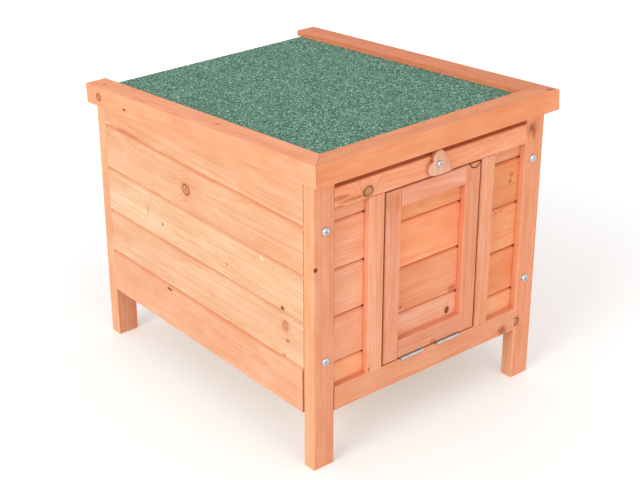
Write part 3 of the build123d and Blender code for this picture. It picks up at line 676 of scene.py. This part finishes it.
def board_joints(name, box):
    """A board's V joints, the frame's edges round it, and painted shadow in the hollows where the joints end
    on the right.
    """
    levels = DOOR_SEAMS if name.startswith("door") else SEAMS
    seams = [z for z in levels if box[0][2] - SEAM_MARGIN < z < box[1][2]]
    right_ends, edges = (), ()
    if name.startswith("front_boards"):
        right_ends, edges = (-BAY_INNER, BAY_OUTER), BAY_EDGES
    elif name.startswith("door"):
        right_ends, edges = (PANEL_HALF,), PANEL_EDGES
    groove_shadows = []
    for x in right_ends:
        groove_shadows += [(x - GROOVE_SHADOW_OFFSET, BAY, z + GROOVE_SHADOW_OFFSET, *GROOVE_SHADOW_SIZE, "notch") for z in seams]
    return seams, edges, groove_shadows


for seed, (name, (grain, tone, other, knots)) in enumerate(TONES.items(), BOARD_SEED):
    box = own_box(name)
    seams, edges, groove_shadows = board_joints(name, box) if "board" in name else ((), (), [])
    fir = wood(
        "fir_" + name, tone, grain, seed, box, knots + groove_shadows, other,
        seams=seams, shaded_edges=GAP_SHADE_EDGES.get(name, edges), flank=LIT_FLANK_TONES.get(name),
    )
    dress(name, fir)

for seed, (name, (grain, tone, knots)) in enumerate(SLOPED.items(), SLOPED_SEED):
    dress(name, wood("fir_" + name, tone, grain, seed, sloped_box(name), knots, sloped=True))

for seed, (name, grain) in enumerate(BARE.items(), BARE_SEED):
    dress(name, wood("plain_" + name, BARE_TONE, grain, seed, own_box(name), bare=True, rough=0.6))

batten_box = sloped_box("roof_back_batten")
batten_wood = wood("plain_roof_back_batten", BACK_BATTEN_TONE, "x", BACK_BATTEN_SEED, batten_box, sloped=True)
dress("roof_back_batten", batten_wood)

for seed, (name, sloped) in enumerate((("floor_panel", False), ("roof_deck", True)), PLY_SEED):
    box = sloped_box(name) if sloped else own_box(name)
    ply = wood(
        "ply_" + name, PLY_TONE, "x", seed, box,
        sloped=sloped, contrast=0.4, spacing=9.0, rough=0.62, bare=True,
    )
    dress(name, ply)

dress("roof_felt", mineral_felt("grit_felt"))
for name in nodes:
    if "hinge" in name:
        dress(name, ZINC)


# -------------------------------------------------------------- fine pieces
def keep(name, mesh, sharp_angle, body, slot, *stands_for):
    """Makes a piece of a mesh, smooth but for edges sharper than an angle."""
    for polygon in mesh.polygons:
        polygon.use_smooth = True
    mesh.set_sharp_from_angle(angle=sharp_angle)
    piece = bpy.data.objects.new(name, mesh)
    bpy.context.scene.collection.objects.link(piece)
    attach(piece, body)
    if stands_for:
        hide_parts(*stands_for)


def mesh_from(name, bm):
    """A mesh of a bmesh, which is freed."""
    mesh = bpy.data.meshes.new(name)
    bm.to_mesh(mesh)
    bm.free()
    return mesh


def object_from(name, bm):
    """An object of a bmesh, in the scene."""
    made = bpy.data.objects.new(name, mesh_from(name, bm))
    bpy.context.scene.collection.objects.link(made)
    return made


def join_rings(bm, a, b):
    """Faces between two rings of points, where either may be a single point."""
    count = max(len(a), len(b))
    for k in range(count):
        j = (k + 1) % count
        if len(a) == 1:
            bm.faces.new((a[0], b[k], b[j]))
        elif len(b) == 1:
            bm.faces.new((a[k], a[j], b[0]))
        else:
            bm.faces.new((a[k], a[j], b[j], b[k]))


def turned(bm, profile, matrix, steps=40):
    """A closed solid of revolution about the local Z axis, from (radius, height) points.

    The first and last points are on the axis.
    """
    rings = []
    for radius, height in profile:
        ring = []
        for k in range(steps if radius else 1):
            angle = 2 * pi * k / steps
            ring.append(bm.verts.new(matrix @ Vector((radius * cos(angle), radius * sin(angle), height))))
        rings.append(ring)
    for a, b in zip(rings, rings[1:]):
        join_rings(bm, a, b)


SLOT_BOTTOM = 0.55  # length of a recess's slots at the bottom, as part of that at the top


def cross_cutter(bm, matrix, reach, half_width, top, bottom):
    """Two crossed tapering slots, as a cutter for a cross recess."""
    for turn in (0, pi / 2):
        local = matrix @ Matrix.Rotation(turn, 4, "Z")
        rings = []
        for z, length in ((bottom, reach * SLOT_BOTTOM), (top, reach)):
            ring = []
            for sx, sy in ((-1, -1), (1, -1), (1, 1), (-1, 1)):
                ring.append(bm.verts.new(local @ Vector((sx * length, sy * half_width, z))))
            rings.append(ring)
        bm.faces.new(rings[0][::-1])
        bm.faces.new(rings[1])
        join_rings(bm, rings[0], rings[1])


# Pan-head screws: sizes in mm, and parts of the head's own radius or height
HEAD_EASE = 0.25
RIM_PART = 0.27  # height of the upright rim
CROWN_PART = 0.45  # radius of the flat crown
DOME_PART = 0.55
DOME_STEPS = 8
POINT_LENGTH = 3.2
RECESS_REACH = 0.62
RECESS_HALF_WIDTH = 0.13
RECESS_DEPTH = 1.5
CUTTER_RISE = 0.5  # how far the cutter stands above the head
SCREW_SHARP = radians(38)


def screw_profile(head_radius, head_height, shank_radius, shank_length):
    """(radius, height) points of a pan-head screw from its tip up, with the head's seat at height 0."""
    taper = min(POINT_LENGTH, shank_length * 0.5)
    rim = RIM_PART * head_height
    profile = [
        (0.0, -shank_length),
        (shank_radius * 0.4, -shank_length + taper * 0.2),
        (shank_radius, -shank_length + taper),
        (shank_radius, 0.0),
        (head_radius - HEAD_EASE, 0.0),
        (head_radius, min(HEAD_EASE, rim * 0.5)),
        (head_radius, rim),
    ]
    for k in range(1, DOME_STEPS + 1):
        angle = k / DOME_STEPS * pi / 2
        radius = head_radius * (CROWN_PART + DOME_PART * cos(angle))
        profile.append((radius, rim + (head_height - rim) * sin(angle)))
    profile.append((0.0, head_height))
    return profile


def screws(name, spots, head, shank, recess, body, *stands_for):
    """Pan-head screws with a cross recess of a given depth.

    spots are (point, outward direction, turn of the recess); head and shank are (radius, length).
    """
    head_radius, head_height = head
    profile = screw_profile(*head, *shank)
    solid = bmesh.new()
    cutter = bmesh.new()
    for point, outward, turn in spots:
        matrix = (
            Matrix.Translation(Vector(point) * MM)
            @ Vector(outward).to_track_quat("Z", "Y").to_matrix().to_4x4()
            @ Matrix.Rotation(turn, 4, "Z")
            @ Matrix.Scale(MM, 4)
        )
        turned(solid, profile, matrix)
        cross_cutter(
            cutter, matrix, head_radius * RECESS_REACH, head_radius * RECESS_HALF_WIDTH,
            head_height + CUTTER_RISE, head_height - recess,
        )
    for bm in (solid, cutter):
        bmesh.ops.recalc_face_normals(bm, faces=bm.faces)
    whole = object_from(name + "_whole", solid)
    whole.data.materials.append(ZINC)
    tool = object_from(name + "_recess", cutter)
    tool.data.materials.append(RECESS_SHADE_ZINC)
    cut = whole.modifiers.new("recess", "BOOLEAN")
    cut.operation = "DIFFERENCE"
    cut.solver = "EXACT"
    cut.object = tool
    cut.use_self = True
    bpy.context.view_layer.update()
    done = bpy.data.meshes.new_from_object(whole.evaluated_get(bpy.context.evaluated_depsgraph_get()))
    done.name = name
    bpy.data.objects.remove(whole)
    bpy.data.objects.remove(tool)
    keep(name, done, SCREW_SHARP, body, "zinc", *stands_for)


low, high = own_box("frame_screws")
HEAD = 5.6  # radius of the frame screws' heads
FRAME_SHANK = (2.0, 16.0)
BACK_TURN = 0.4  # radians by which a back screw's recess is turned further than the front one's
spots = []
for sx in (-1, 1):
    for z in (low[2] + HEAD, high[2] - HEAD):
        turn = radians(20 + 37 * len(spots))  # no two recesses stand the same way
        spots.append(((sx * (high[0] - HEAD), FRONT, z), (0, -1, 0), turn))
        spots.append(((sx * (high[0] - HEAD), BACK, z), (0, 1, 0), turn + BACK_TURN))
screws("frame_screw_heads", spots, (HEAD, high[1] - BACK), FRAME_SHANK, RECESS_DEPTH, "hutch", "frame_screws")

low, high = own_box("turn_button_screw")
BUTTON_HEAD_HEIGHT = 2.6
BUTTON_SHANK_RADIUS = 1.9
TIP_CLEARANCE = 0.05  # how far the screw's tip stops short of its node's end
button_head = ((high[0] - low[0]) / 2, BUTTON_HEAD_HEIGHT)
button_z = (low[2] + high[2]) / 2
button_spot = ((0, low[1] + BUTTON_HEAD_HEIGHT, button_z), (0, -1, 0), radians(25))
button_shank = (BUTTON_SHANK_RADIUS, high[1] - low[1] - BUTTON_HEAD_HEIGHT - TIP_CLEARANCE)
screws(
    "button_screw_head", [button_spot], button_head, button_shank, RECESS_DEPTH, "hutch", "turn_button_screw"
)

# Small raised-head screws in the roof hinges' leaves
LEAF_HOLES = [side * 110.0 + step * 16.0 for side in (-1, 1) for step in (-1, 1)]  # across the back
HOLE_REACH = 10.45  # from the hinge line along the leaf
LEAF_FACE = -1.4  # from the hinge line to the face that the heads stand on
LEAF_HEAD = (2.7, 1.2)
LEAF_SHANK = (1.5, 1.15)
LEAF_RECESS_DEPTH = 0.8
DOWN, OUTWARD = Vector((0, 0, -1)), Vector((0, 1, 0))
UP_LID = Vector((0, sin(LID_SLOPE), cos(LID_SLOPE)))
OFF_LID = Vector((0, cos(LID_SLOPE), -sin(LID_SLOPE)))
for name, body, along_leaf, off_leaf, first_turn in (
    ("wall_hinge_screws", "hutch", DOWN, OUTWARD, 50),
    ("lid_hinge_screws", "roof", UP_LID, OFF_LID, 12),
):
    spots = []
    for number, x in enumerate(LEAF_HOLES):
        point = Vector((x, LID_AXIS[1], LID_AXIS[2])) + along_leaf * HOLE_REACH + off_leaf * LEAF_FACE
        spots.append((point, off_leaf, radians(31 * number + first_turn)))
    screws(name, spots, LEAF_HEAD, LEAF_SHANK, LEAF_RECESS_DEPTH, body)


# -------------------------------------------------------------- wooden heart
LOBE_STEPS = 40
FLANK_STEPS = 24


def arc(centre, radius, a, b, steps):
    """Points about centre from angle a to angle b, the shorter way round."""
    while b - a > pi:
        b -= 2 * pi
    while b - a < -pi:
        b += 2 * pi
    angles = [a + (b - a) * k / steps for k in range(steps + 1)]
    return [(centre[0] + radius * cos(angle), centre[1] + radius * sin(angle)) for angle in angles]


def heart_outline(half_width=17.8, tip=29.0, lobe=10.0, lobe_height=3.3, shoulder_turn=radians(23.0)):
    """An upright heart: round lobes from the notch to the shoulders, then bowed flanks to the tip."""
    lobe_x = half_width - lobe
    notch = atan2(sqrt(lobe**2 - lobe_x**2), -lobe_x)
    right = arc((lobe_x, lobe_height), lobe, notch, -shoulder_turn, LOBE_STEPS)
    # The flank leaves the shoulder on the lobe's tangent and ends in the tip
    shoulder = (lobe_x + lobe * cos(shoulder_turn), lobe_height - lobe * sin(shoulder_turn))
    nx, ny = cos(shoulder_turn), -sin(shoulder_turn)
    dx, dy = -shoulder[0], -tip - shoulder[1]
    r = (dx * dx + dy * dy) / (2 * (dx * nx + dy * ny))
    centre = (shoulder[0] + r * nx, shoulder[1] + r * ny)
    start = atan2(shoulder[1] - centre[1], shoulder[0] - centre[0])
    end = atan2(-tip - centre[1], -centre[0])
    right += arc(centre, abs(r), start, end, FLANK_STEPS)[1:]
    left = [(-x, y) for x, y in right[-2:0:-1]]
    return right + left


def inward_normals(outline):
    """Unit vectors from each point of a closed outline to its inside."""
    count = len(outline)
    area = sum(outline[k - 1][0] * outline[k][1] - outline[k][0] * outline[k - 1][1] for k in range(count))
    inward = 1.0 if area > 0 else -1.0
    normals = []
    for k in range(count):
        (x0, y0), (x1, y1) = outline[k - 1], outline[(k + 1) % count]
        dx, dy = x1 - x0, y1 - y0
        n = sqrt(dx * dx + dy * dy)
        normals.append((inward * -dy / n, inward * dx / n))
    return normals


HEART_TURN = radians(60.0)  # at rest the tip points down to the right
HEART_BACK_EASE = 0.25
HEART_FRONT_EASE = 1.4
HEART_EASE_STEPS = 5
HEART_SHARP = radians(40)


def heart_piece():
    """The turn button's heart, with an eased front edge."""
    low, high = own_box("turn_button")
    back, front = high[1], low[1]
    outline = heart_outline()
    normals = inward_normals(outline)
    layers = [(back, HEART_BACK_EASE), (back - HEART_BACK_EASE, 0.0)]
    for k in range(HEART_EASE_STEPS + 1):
        a = k / HEART_EASE_STEPS * pi / 2
        layers.append((front + HEART_FRONT_EASE - HEART_FRONT_EASE * sin(a), HEART_FRONT_EASE * (1 - cos(a))))
    bm = bmesh.new()
    rows = []
    for y, inset in layers:
        row = []
        for (px, pz), (nx, nz) in zip(outline, normals):
            x, z = px + nx * inset, pz + nz * inset
            turned_x = x * cos(HEART_TURN) - z * sin(HEART_TURN)
            turned_z = x * sin(HEART_TURN) + z * cos(HEART_TURN)
            row.append(bm.verts.new(Vector((turned_x, y, button_z + turned_z)) * MM))
        rows.append(row)
    for a, b in zip(rows, rows[1:]):
        join_rings(bm, a, b)
    bm.faces.new(rows[0])
    bm.faces.new(rows[-1][::-1])
    bmesh.ops.recalc_face_normals(bm, faces=bm.faces)
    mesh = mesh_from("button_heart", bm)
    fir = wood(
        "fir_turn_button", BUTTON_TONE, "z", BUTTON_SEED, (low, high), contrast=0.8, spacing=2.2, sawn=True
    )
    mesh.materials.append(fir)
    keep("button_heart", mesh, HEART_SHARP, "turn_button", "button_wood", "turn_button")


heart_piece()

# ------------------------------------------------------- floor, world, lamps
# Lengths here and below are metres
FLOOR_HALF = 7.0
FLOOR_GAP = 0.0002  # between the floor and the feet
FLOOR_COLOUR = (0.9, 0.9, 0.9, 1.0)
WHITE = (1.0, 1.0, 1.0, 1.0)
GLOW_NEAR = 0.24  # what the floor gives off to the rays that look at it, up to NEAR from the middle
GLOW_FAR = 0.5  # and from FAR on
NEAR = 0.4
FAR = 1.3
WORLD_LIGHT = 0.72  # strength of the world as light on the object
WORLD_SEEN = 1.0  # and as the white that is seen

bm = bmesh.new()
bmesh.ops.create_grid(bm, x_segments=2, y_segments=2, size=FLOOR_HALF)
floor = object_from("floor", bm)
floor.location.z = cad_box[0].z - FLOOR_GAP
p = Paint(bpy.data.materials.new("pale_floor"))
diffuse = p.add("BsdfDiffuse")
diffuse.inputs["Color"].default_value = FLOOR_COLOUR
glow = p.add("Emission")
glow.inputs["Color"].default_value = WHITE
glow_level = p.step(p.vector("LENGTH", p.place()), NEAR, FAR, GLOW_NEAR, GLOW_FAR)
p.feed(glow.inputs["Strength"], p.math("MULTIPLY", p.seen_rays(), glow_level))
both = p.add("AddShader")
p.feed(both.inputs[0], diffuse.outputs[0])
p.feed(both.inputs[1], glow.outputs[0])
out = p.add("OutputMaterial")
p.feed(out.inputs["Surface"], both.outputs[0])
floor.data.materials.append(p.owner)

world = bpy.data.worlds.new("studio")
bpy.context.scene.world = world
p = Paint(world)
level = p.add("MapRange")
p.feed(level.inputs["Value"], p.seen_rays())
level.inputs["To Min"].default_value = WORLD_LIGHT
level.inputs["To Max"].default_value = WORLD_SEEN
background = p.add("Background")
background.inputs["Color"].default_value = WHITE
p.feed(background.inputs["Strength"], level.outputs[0])
out = p.add("OutputWorld")
p.feed(out.inputs["Surface"], background.outputs[0])

LAMP_SIZE = 3.9
LAMP_TARGET = (0, 0, 0.2)


def lamp(name, place, power):
    """A round soft lamp that looks at the hutch."""
    light = bpy.data.lights.new(name, "AREA")
    light.shape = "DISK"
    light.size = LAMP_SIZE
    light.energy = power
    o = bpy.data.objects.new(name, light)
    bpy.context.scene.collection.objects.link(o)
    o.location = place
    o.rotation_euler = (Vector(LAMP_TARGET) - Vector(place)).to_track_quat("-Z", "Y").to_euler()


lamp("key_lamp", (-6.1, -1.3, 2.9), 200.0)
lamp("front_lamp", (-0.45, -6.1, 1.9), 66.0)

# ------------------------------------------------------------------- camera
CAMERA_PLACE = (-1.1714, -1.4299, 1.0736)
CAMERA_AIM = (0.5731, 0.6945, -0.4349)
LENS = 80.77  # mm, as is the sensor
SENSOR = 36.0

camera = bpy.data.cameras.new("camera")
camera.lens = LENS
camera.sensor_width = SENSOR
eye = bpy.data.objects.new("camera", camera)
bpy.context.scene.collection.objects.link(eye)
eye.location = CAMERA_PLACE
eye.rotation_euler = Vector(CAMERA_AIM).to_track_quat("-Z", "Y").to_euler()
bpy.context.scene.camera = eye
bpy.context.scene.view_settings.view_transform = "Standard"
